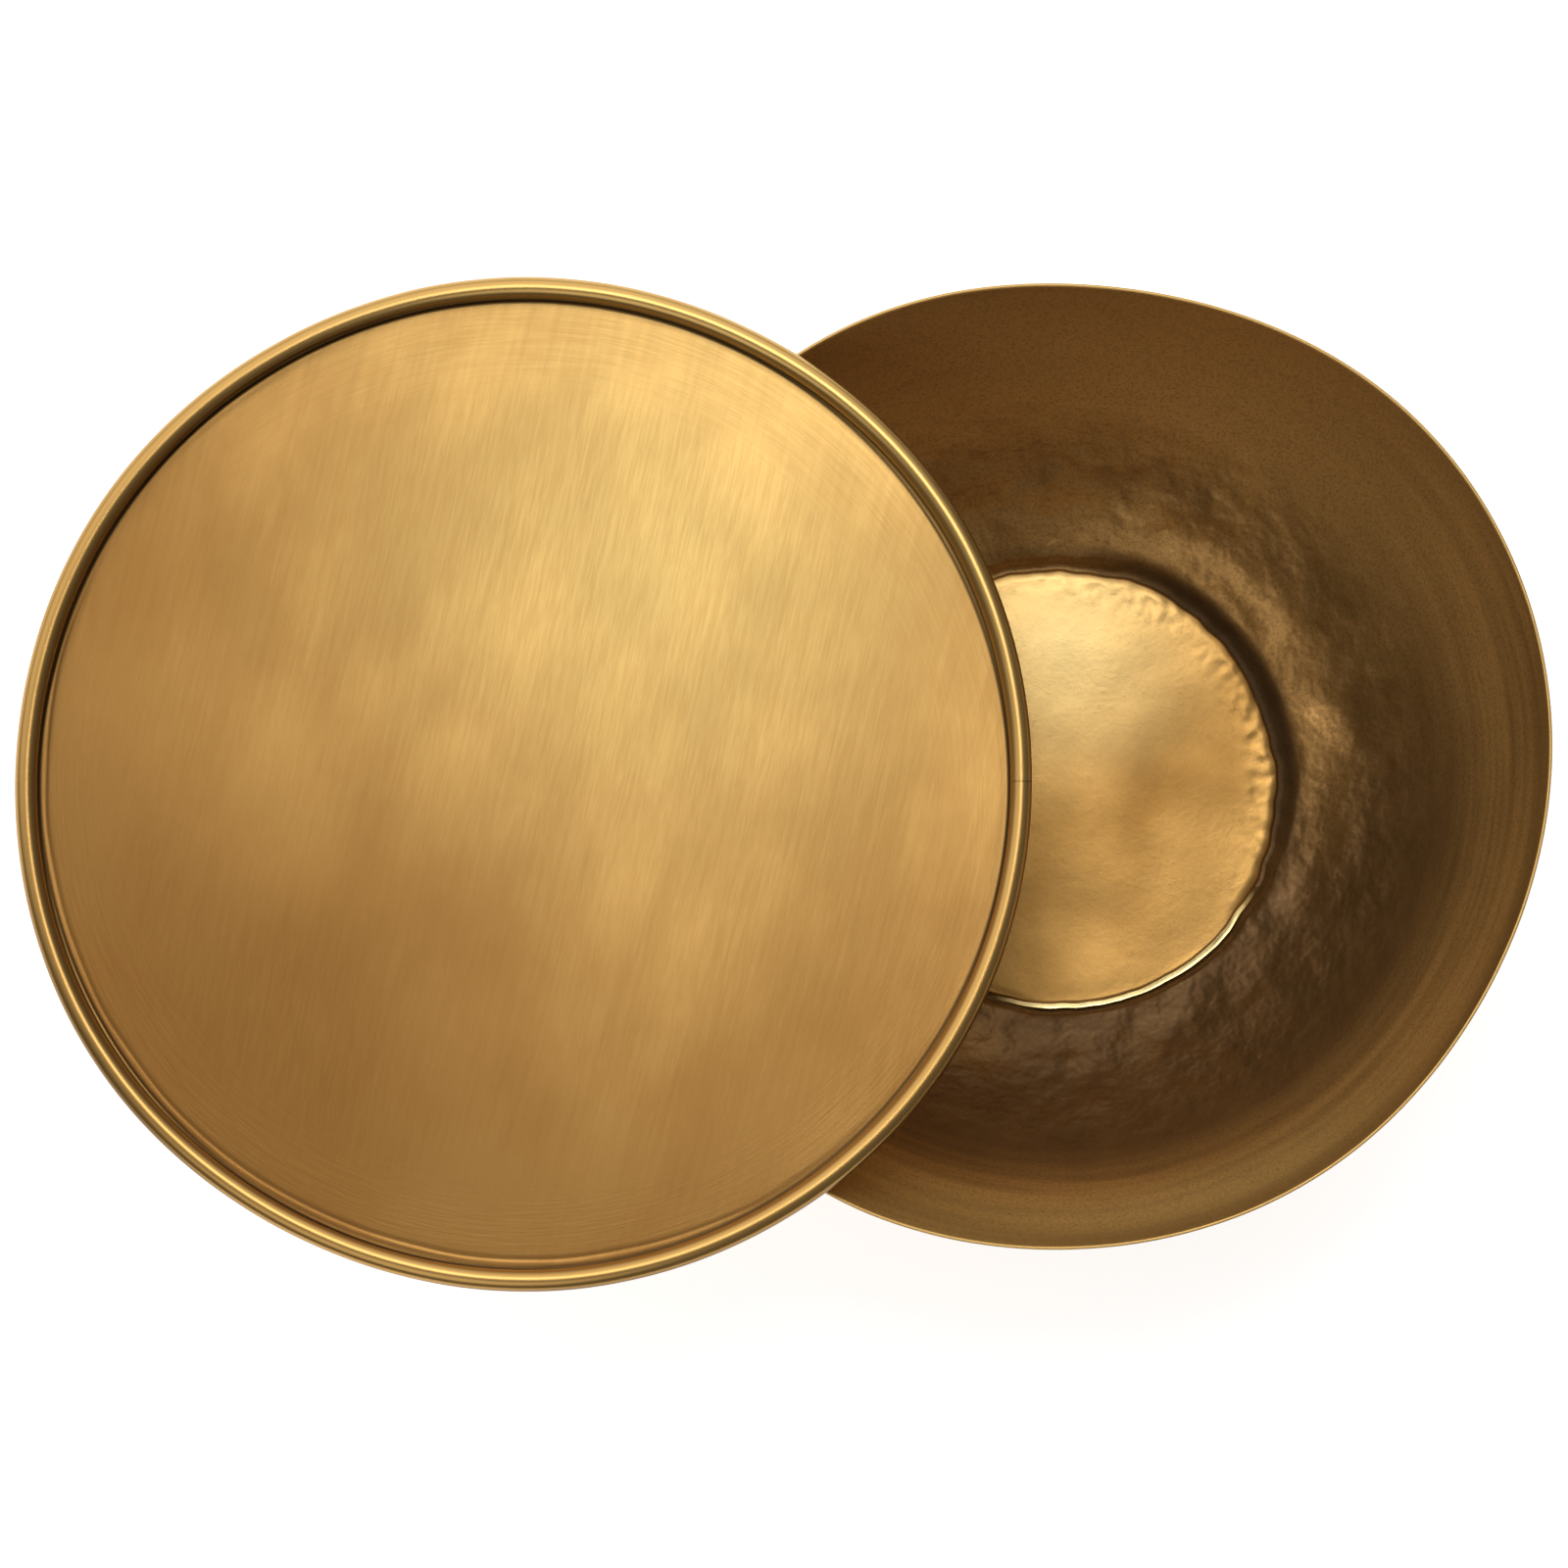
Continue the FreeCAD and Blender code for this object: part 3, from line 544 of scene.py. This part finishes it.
def spun(profile, steps):
    """A bmesh of an open profile of (radius, height) turned a full circle, facing up at its start."""
    bm = bmesh.new()
    points = [bm.verts.new((r, 0, z)) for r, z in profile]
    edges = [bm.edges.new(pair) for pair in zip(points, points[1:])]
    bmesh.ops.spin(bm, geom=points + edges, cent=(0, 0, 0), axis=(0, 0, 1), dvec=(0, 0, 0),
                   angle=2 * math.pi, steps=steps, use_merge=True, use_duplicate=False)
    bmesh.ops.remove_doubles(bm, verts=bm.verts, dist=1e-6)
    bmesh.ops.recalc_face_normals(bm, faces=bm.faces)
    bm.normal_update()
    start = min(bm.faces, key=lambda f: f.calc_center_median().to_2d().length)
    if start.normal.z < 0:
        bmesh.ops.reverse_faces(bm, faces=bm.faces)
    return bm


def piece(bm, name, body, material, replaces, thickness):
    """Makes a bmesh a finished piece on its body, with its sheet thickness and shading."""
    for face in bm.faces:
        face.smooth = True
    mesh = bpy.data.meshes.new(name)
    bm.to_mesh(mesh)
    bm.free()
    made = bpy.data.objects.new(name, mesh)
    bpy.context.scene.collection.objects.link(made)
    mesh.materials.append(material)
    solid = made.modifiers.new("sheet", "SOLIDIFY")
    solid.thickness = thickness
    solid.offset = -1.0
    solid.use_even_offset = True
    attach(made, body)
    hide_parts(*replaces)


def round_noise(angle, radius, pitch, seed):
    """Noise round a circle, with lumps pitch long at that radius, from -1 to 1."""
    k = radius / pitch
    return noise.noise((math.cos(angle) * k, math.sin(angle) * k, seed))


def lobes(angle, waves):
    """Sum of a few waves round the circle: (count, height in mm, phase in degrees)."""
    return sum(h * MM * math.cos(k * angle + math.radians(p)) for k, h, p in waves)


# The rim is hand-raised: fullest towards the far right, flattest at the near right.
BOWL_WAVES = ((1, 1.48, -128), (2, 1.33, -99), (3, 1.78, -56), (4, 1.03, -150), (5, 0.33, -163),
              (6, 0.51, 22))
TRAY_WAVES = ((1, 0.31, 66), (2, 0.54, -48), (3, 0.31, -172), (4, 0.41, -135), (6, 0.39, 178))

PLATE_EDGE = 101.6 * MM       # mean radius of the floor plate
LIP_START = 94.2 * MM         # inner edge of the lip that carries the floor plate
WALL_START = 103.2 * MM       # where the cove leaves the lip
COVE = 4.4 * MM               # width of the cove
ARC_FOOT = (109.5 * MM, 39.7 * MM)
ARC_START = math.radians(30)
RIM_INSIDE = 219 * MM - 1.2 * MM    # where the wall's inner face ends at the rim
ARC_LIFT = 3.4 * MM           # how far the wall's arc is raised where it leaves the cove
WALL_RINGS = 80               # rings of faces up the wall's arc
COVE_BANK = 2.6 * MM          # how far the cove is banked up where it is widest, at the far right
PLATE_SHEET = 1.0 * MM        # thickness of the floor plate and its braze
BRAZE_DROP = 1.35 * MM        # how far the braze lies below the floor where it isn't proud


def wall_arc():
    """Centre and radius of the wall's arc, as the frame's wall has it."""
    end = (RIM_INSIDE, RIM)
    run, rise = end[0] - ARC_FOOT[0], end[1] - ARC_FOOT[1]
    radius = math.hypot(run, rise) / (2 * math.sin(math.atan2(rise, run) - ARC_START))
    return ARC_FOOT[0] - radius * math.sin(ARC_START), ARC_FOOT[1] + radius * math.cos(ARC_START), radius


def seam_place(angle, sizes):
    """Radius of the floor plate's crinkled edge."""
    wander = 0.8 * round_noise(angle, 0.102, 0.030, 3.1) + 0.55 * round_noise(angle, 0.102, 0.009, 7.7)
    rough_side = 0.45 + 0.55 * smooth(math.cos(angle - math.radians(35)), -0.2, 0.9)
    return PLATE_EDGE + sizes.seam_crinkle * wander * rough_side


def proud_seam(angle):
    """1 where the braze stands proud at the front, 0 where it lies below the floor plate."""
    return smooth(math.cos(angle - math.radians(SEAM_FRONT)), 0.72, 0.93)


# ---------------------------------------------------------------- operators

class OBJECT_OT_bowl_wall(bpy.types.Operator):
    """Make the bowl's raised wall, out of round and hammered about its floor"""
    bl_idname = "object.bowl_wall"
    bl_label = "Bowl Wall"

    def execute(self, context):
        sizes, finish = context.scene.bowl_sizes, context.scene.bowl_finish
        cx, cz, arc = wall_arc()

        def height(r):
            plain = cz - math.sqrt(arc * arc - (r - cx) ** 2)
            plain += ARC_LIFT * (1 - smooth(r, WALL_START, WALL_START + 0.030))
            start = cz - math.sqrt(arc * arc - (WALL_START - cx) ** 2) + ARC_LIFT
            return plain - (start - FLOOR_SEAT) * (1 - smooth(r, WALL_START, WALL_START + COVE))

        profile = [(LIP_START, FLOOR_SEAT)] + [(r * MM, FLOOR_SEAT) for r in (97.0, 100.0, 101.8)]
        cove = [WALL_START + COVE * i / 12 for i in range(12)]
        profile += [(r, height(r)) for r in cove]
        turn_low = math.asin((WALL_START + COVE - cx) / arc)
        turn_high = math.asin((RIM_INSIDE - cx) / arc)
        for i in range(WALL_RINGS + 1):
            r = cx + arc * math.sin(turn_low + (turn_high - turn_low) * i / WALL_RINGS)
            profile.append((r, height(r)))
        bm = spun(profile, sizes.steps)
        for vert in bm.verts:
            x, y, z = vert.co
            r, angle = math.hypot(x, y), math.atan2(y, x)
            crinkle = seam_place(angle, sizes) - PLATE_EDGE
            if r < WALL_START - 1e-5:
                # The lip follows the seam, so that the wall's start never folds back over it.
                r_new = r + crinkle * smooth(r, LIP_START, WALL_START)
                vert.co = (r_new * math.cos(angle), r_new * math.sin(angle), z)
                continue
            far_right = smooth(math.cos(angle - math.radians(30)), 0.45, 0.97)
            wide = 1.1 * far_right
            if r < WALL_START + COVE:
                stretch = (r - WALL_START) * wide
            else:
                stretch = COVE * wide * (1 - smooth(r, WALL_START + COVE, 0.134))
            up = (z - FLOOR_SEAT) / (RIM - FLOOR_SEAT)
            lean = math.asin(min((r - cx) / arc, 1.0))
            low = smooth(r, 0.1060, 0.110) * (1 - smooth(r, 0.128, 0.158))
            p = Vector((x, y, z))
            lump = noise.noise(p / sizes.hammer_pitch)
            lump += 0.12 * noise.noise(p / (sizes.hammer_pitch * 0.42))
            push = sizes.hammer_depth * lump * (0.10 + 0.90 * low) * smooth(r, 0.1035, 0.107)
            around = Vector((math.cos(angle) * 2.2, math.sin(angle) * 2.2, z / 0.009))
            push += 0.10 * MM * noise.noise(around) * smooth(r, 0.135, 0.165)
            fade = 1 - smooth(z, RIM - 0.012, RIM)
            push *= 0.25 + 0.75 * fade
            out = sizes.out_of_round * lobes(angle, BOWL_WAVES) * up ** 1.3
            wander = crinkle * (1 - smooth(r, 0.107, 0.116))
            r_new = r + out + wander + stretch - push * math.sin(lean)
            bank = COVE_BANK * far_right * smooth(r, WALL_START, WALL_START + COVE)
            bank *= 1 - smooth(r, 0.108, 0.142)
            z += bank + push * math.cos(lean)
            vert.co = (r_new * math.cos(angle), r_new * math.sin(angle), z)
        piece(bm, "bowl_wall", "bowl", wall_brass(finish), ["bowl_shell"], sizes.sheet)
        return {"FINISHED"}


class OBJECT_OT_bowl_floor_plate(bpy.types.Operator):
    """Make the bowl's floor plate, softly dented, with a crinkled edge"""
    bl_idname = "object.bowl_floor_plate"
    bl_label = "Bowl Floor Plate"

    def execute(self, context):
        sizes, finish = context.scene.bowl_sizes, context.scene.bowl_finish
        rings = 56
        profile = [(PLATE_EDGE * (i / rings) ** 0.92, FLOOR_TOP) for i in range(rings + 1)]
        profile[0] = (0.0, FLOOR_TOP)
        bm = spun(profile, sizes.steps)
        for vert in bm.verts:
            x, y, z = vert.co
            r, angle = math.hypot(x, y), math.atan2(y, x)
            p = Vector((x, y, 0.37))
            dent = noise.noise(p / 0.062) + 0.28 * noise.noise(p / 0.024)
            rise = sizes.floor_dents * dent * (1 - 0.6 * smooth(r, 0.09, 0.102))
            torn = smooth(r, 0.083, 0.095) * smooth(math.cos(angle - math.radians(42)), 0.25, 0.75)
            clumps = smooth(noise.noise(p / 0.021), -0.70, 0.0)
            rise += (0.42 * noise.noise(p / 0.0056) + 0.20 * noise.noise(p / 0.0033)) * MM * torn * clumps
            # The plate's edge stands a little proud at the front, and is turned down elsewhere.
            proud = proud_seam(angle)
            turned = 0.12 * proud * (1 + round_noise(angle, 0.1, 0.02, 1.3)) - 1.0 * (1 - proud)
            rise += turned * MM * smooth(r, 0.0985, PLATE_EDGE)
            edge = smooth(r, 0.085, 0.1023)
            r_new = r + (seam_place(angle, sizes) - PLATE_EDGE) * edge if r > 1e-6 else 0.0
            vert.co = (r_new * math.cos(angle), r_new * math.sin(angle), z + rise)
        piece(bm, "bowl_floor_plate", "bowl", floor_brass(finish), ["bowl_floor"],
              PLATE_SHEET)
        return {"FINISHED"}


class OBJECT_OT_floor_braze(bpy.types.Operator):
    """Make the uneven run of braze between the floor plate and the wall"""
    bl_idname = "object.floor_braze"
    bl_label = "Floor Braze"

    def execute(self, context):
        sizes, finish = context.scene.bowl_sizes, context.scene.bowl_finish
        start, end, rise = PLATE_EDGE - 1.0 * MM, PLATE_EDGE + 2.2 * MM, 1.1 * MM
        profile = []
        for i in range(11):
            t = i / 10
            crown = rise * math.sin(t * math.pi * 0.5) ** 1.2
            profile.append((start + (end - start) * t, FLOOR_TOP - 0.2 * MM + crown))
        bm = spun(profile, sizes.steps)
        for vert in bm.verts:
            x, y, z = vert.co
            r, angle = math.hypot(x, y), math.atan2(y, x)
            t = (r - start) / (end - start)
            proud = proud_seam(angle)
            z = FLOOR_TOP - BRAZE_DROP + (z - FLOOR_TOP + BRAZE_DROP) * proud
            uneven = 0.35 * MM * round_noise(angle, 0.1, 0.012, 5.5 + t * 0.4)
            z += uneven * math.sin(t * math.pi) * proud
            r_new = r + seam_place(angle, sizes) - PLATE_EDGE
            vert.co = (r_new * math.cos(angle), r_new * math.sin(angle), z)
        piece(bm, "floor_braze", "bowl", braze_metal(finish), ["floor_seam"], PLATE_SHEET)
        return {"FINISHED"}


class OBJECT_OT_tray_pan(bpy.types.Operator):
    """Make the tray: a flat panel turned up and rolled over its rim wire"""
    bl_idname = "object.tray_pan"
    bl_label = "Tray Pan"

    def execute(self, context):
        sizes, finish = context.scene.bowl_sizes, context.scene.bowl_finish
        under = TRAY_LOW.z
        bead = sizes.bead_radius
        bead_x, bead_z = TRAY_RADIUS - bead, TRAY_HIGH.z - bead
        corner = 1.5 * MM
        turn_x, top = bead_x - bead - corner, under + sizes.sheet
        profile = [(turn_x * 0.93 * (i / 16) ** 0.9, top) for i in range(17)]
        profile[0] = (0.0, top)
        profile += [(turn_x * (0.93 + 0.07 * i / 24), top) for i in range(1, 24)]
        for i in range(6):
            a = math.radians(90 * i / 5)
            profile.append((turn_x + corner * math.sin(a), top + corner * (1 - math.cos(a))))
        profile += [(bead_x - bead, top + corner + (bead_z - top - corner) * i / 3) for i in (1, 2)]
        for i in range(37):
            a = math.radians(180 - 290 * i / 36)
            profile.append((bead_x + bead * math.cos(a), bead_z + bead * math.sin(a)))
        bm = spun(profile, sizes.steps)
        for vert in bm.verts:
            x, y, z = vert.co
            r, angle = math.hypot(x, y), math.atan2(y, x)
            p = Vector((x, y, 0.11))
            flat = 1 - smooth(r, turn_x - 0.004, turn_x)
            rise = (0.30 * noise.noise(p / 0.115) + 0.10 * noise.noise(p / 0.045)) * MM * flat
            rise += 0.12 * MM * smooth(r, turn_x - 0.030, turn_x) * flat
            # A crease is left inside the corner where the panel was set down, on the near left.
            inward = 0.6 + 3.0 * smooth(math.cos(angle - math.radians(238)), 0.2, 0.9)
            crease_at = turn_x - (inward + 0.8 * round_noise(angle, 0.214, 0.035, 2.2)) * MM
            left = smooth(math.cos(angle - math.radians(228)), 0.15, 0.75)
            rise -= 0.28 * MM * left * math.exp(-((r - crease_at) / 0.0009) ** 2)
            rolled = smooth(r, turn_x, bead_x - bead)
            rise += 0.10 * MM * rolled * round_noise(angle, 0.22, 0.05, 9.0)
            out = lobes(angle, TRAY_WAVES) * (r / TRAY_RADIUS) ** 4
            out += 0.09 * MM * rolled * round_noise(angle, 0.22, 0.030, 4.0)
            vert.co = ((r + out) * math.cos(angle), (r + out) * math.sin(angle), z + rise)
        bmesh.ops.translate(bm, vec=(TRAY_AXIS.x, TRAY_AXIS.y, 0), verts=bm.verts)
        piece(bm, "tray_pan", "tray", tray_brass(finish), ["tray_panel"], sizes.sheet)
        return {"FINISHED"}


class OBJECT_OT_bowl_foot(bpy.types.Operator):
    """Finish the foot, its braze, the base plate and the pad"""
    bl_idname = "object.bowl_foot"
    bl_label = "Foot"

    def execute(self, context):
        finish = context.scene.bowl_finish
        dress("foot_ring", spun_brass(finish))
        dress("foot_seam", bpy.data.materials["dressed_braze"])
        dress("base_plate", plain_finish("blackened_steel", linear("#3A3A3B"), linear("#252526"),
                                         1.0, 0.5, 1.5, 0.03))
        dress("base_pad", plain_finish("sheet_rubber", linear("#1C1B1A"), linear("#121211"),
                                       0.0, 0.72, 1.2, 0.06))
        return {"FINISHED"}


class OBJECT_OT_pivot_fittings(bpy.types.Operator):
    """Finish the pin, its housing, the stop and the rim wire"""
    bl_idname = "object.pivot_fittings"
    bl_label = "Pivot Fittings"

    def execute(self, context):
        finish = context.scene.bowl_finish
        low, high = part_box("pivot_pin")
        pin = ((low + high) / 2).to_2d()
        turned = spun_brass(finish, "turned_brass_fittings", pin)
        for name in ("pivot_tube", "stop_collar", "pivot_flange"):
            dress(name, turned)
        dress("pivot_gusset", plain_finish("filed_brass", finish.wall_light, finish.wall_dark,
                                           1.0, 0.4, 1.0, 0.04))
        bronze = plain_finish("bearing_bronze", linear("#A9794A"), linear("#7E5630"),
                              1.0, 0.38, 0.8, 0.02)
        for name in ("upper_bush", "lower_bush", "thrust_washer"):
            dress(name, bronze)
        steel = plain_finish("bright_turned_steel", linear("#C9C8C6"), linear("#A5A4A2"),
                             1.0, 0.28, 0.7, 0.01)
        for name in ("pivot_pin", "stop_peg", "retaining_washer", "retaining_screw"):
            dress(name, steel)
        dress("rim_wire", plain_finish("drawn_steel_wire", linear("#9A9896"), linear("#6F6D6B"),
                                       1.0, 0.4, 0.8, 0.02))
        return {"FINISHED"}


TABLE_REACH = 12.0            # metres from the table's middle to its side


class OBJECT_OT_bowl_stage(bpy.types.Operator):
    """Make the pale floor, the soft lights and the camera"""
    bl_idname = "object.bowl_stage"
    bl_label = "Stage"

    def execute(self, context):
        scene, stage = context.scene, context.scene.bowl_stage
        bm = bmesh.new()
        bmesh.ops.create_grid(bm, x_segments=1, y_segments=1, size=TABLE_REACH)
        mesh = bpy.data.meshes.new("stage_floor")
        bm.to_mesh(mesh)
        bm.free()
        ground = bpy.data.objects.new("stage_floor", mesh)
        scene.collection.objects.link(ground)
        material, _, shader = new_material("white_acrylic_table", 0.0, 0.9)
        # White acrylic lit from below, so that shadows on it stay faint.
        shader.inputs["Base Color"].default_value = linear("#F0F0F0")
        shader.inputs["Emission Color"].default_value = linear("#FFFFFF")
        shader.inputs["Emission Strength"].default_value = stage.table_glow
        mesh.materials.append(material)

        world = bpy.data.worlds.new("studio")
        scene.world = world
        world.use_nodes = True
        tree = world.node_tree
        # A dim room with a bright side behind the bowl, brighter overhead than at the horizon.
        way = add(tree, "ShaderNodeTexCoord", out="Generated")
        behind = add(tree, "ShaderNodeVectorMath", (way, (-0.36, 0.81, 0.46)), out="Value",
                     operation="DOT_PRODUCT")
        level = add(tree, RANGE, (behind, 0.38, 0.80, stage.dark_side, stage.bright_side), **SOFT)
        up = add(tree, "ShaderNodeSeparateXYZ", (way,), out=2)
        overhead = add(tree, RANGE, (up, 0.10, 0.60, 0.5, 1.0), **SOFT)
        level = add(tree, MATH, (level, overhead), **TIMES)
        background = tree.nodes["Background"]
        tree.links.new(level, background.inputs["Strength"])
        background.inputs["Color"].default_value = (1.0, 0.985, 0.96, 1.0)

        lamps = (("softbox", stage.softbox, stage.softbox_size, stage.softbox_at, (0.03, 0.4, 0.1)),
                 ("fill", stage.fill, stage.fill_size, stage.fill_at, (0.03, 0.0, 0.1)))
        for name, glow, size, place, target in lamps:
            data = bpy.data.lights.new(name, "AREA")
            data.shape, data.size = "DISK", size
            data.energy = glow * math.pi * math.pi * size ** 2 / 4
            lamp = bpy.data.objects.new(name, data)
            scene.collection.objects.link(lamp)
            lamp.location = place
            toward_lamp = Vector(place) - Vector(target)
            lamp.rotation_euler = toward_lamp.to_track_quat("Z", "Y").to_euler()
            lamp.visible_camera = False

        data = bpy.data.cameras.new("camera")
        camera = bpy.data.objects.new("camera", data)
        scene.collection.objects.link(camera)
        aim = Vector(stage.aim)
        back = Vector((0, -math.sin(stage.tilt), math.cos(stage.tilt)))
        camera.location = aim + back * stage.distance
        camera.rotation_euler = (stage.tilt, 0, 0)
        data.sensor_width = 36.0
        data.lens = data.sensor_width * stage.distance / stage.width
        data.clip_end = 100
        scene.camera = camera
        scene.view_settings.view_transform = "Standard"
        return {"FINISHED"}


def dress(node, material):
    """Gives a frame node its material."""
    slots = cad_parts[node].material_slots
    if not slots:
        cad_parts[node].data.materials.append(material)
    for slot in slots:
        slot.material = material


class VIEW3D_PT_brass_bowl(bpy.types.Panel):
    bl_label = "Brass Bowl"
    bl_idname = "VIEW3D_PT_brass_bowl"
    bl_space_type = "VIEW_3D"
    bl_region_type = "UI"
    bl_category = "Brass Bowl"

    def draw(self, context):
        for group in (context.scene.bowl_sizes, context.scene.bowl_finish, context.scene.bowl_stage):
            column = self.layout.column(align=True)
            for name in group.__annotations__:
                column.prop(group, name)
        for operator in OPERATORS:
            self.layout.operator(operator.bl_idname)


OPERATORS = (OBJECT_OT_bowl_wall, OBJECT_OT_bowl_floor_plate, OBJECT_OT_floor_braze, OBJECT_OT_tray_pan,
             OBJECT_OT_bowl_foot, OBJECT_OT_pivot_fittings, OBJECT_OT_bowl_stage)
CLASSES = (BowlSizes, BowlFinish, StageSizes) + OPERATORS + (VIEW3D_PT_brass_bowl,)


def register():
    for cls in CLASSES:
        bpy.utils.register_class(cls)
    bpy.types.Scene.bowl_sizes = PointerProperty(type=BowlSizes)
    bpy.types.Scene.bowl_finish = PointerProperty(type=BowlFinish)
    bpy.types.Scene.bowl_stage = PointerProperty(type=StageSizes)


def unregister():
    del bpy.types.Scene.bowl_sizes, bpy.types.Scene.bowl_finish, bpy.types.Scene.bowl_stage
    for cls in reversed(CLASSES):
        bpy.utils.unregister_class(cls)


def main():
    register()
    bpy.ops.object.bowl_wall()
    bpy.ops.object.bowl_floor_plate()
    bpy.ops.object.floor_braze()
    bpy.ops.object.tray_pan()
    bpy.ops.object.bowl_foot()
    bpy.ops.object.pivot_fittings()
    bpy.ops.object.bowl_stage()


if __name__ == "__main__":
    main()
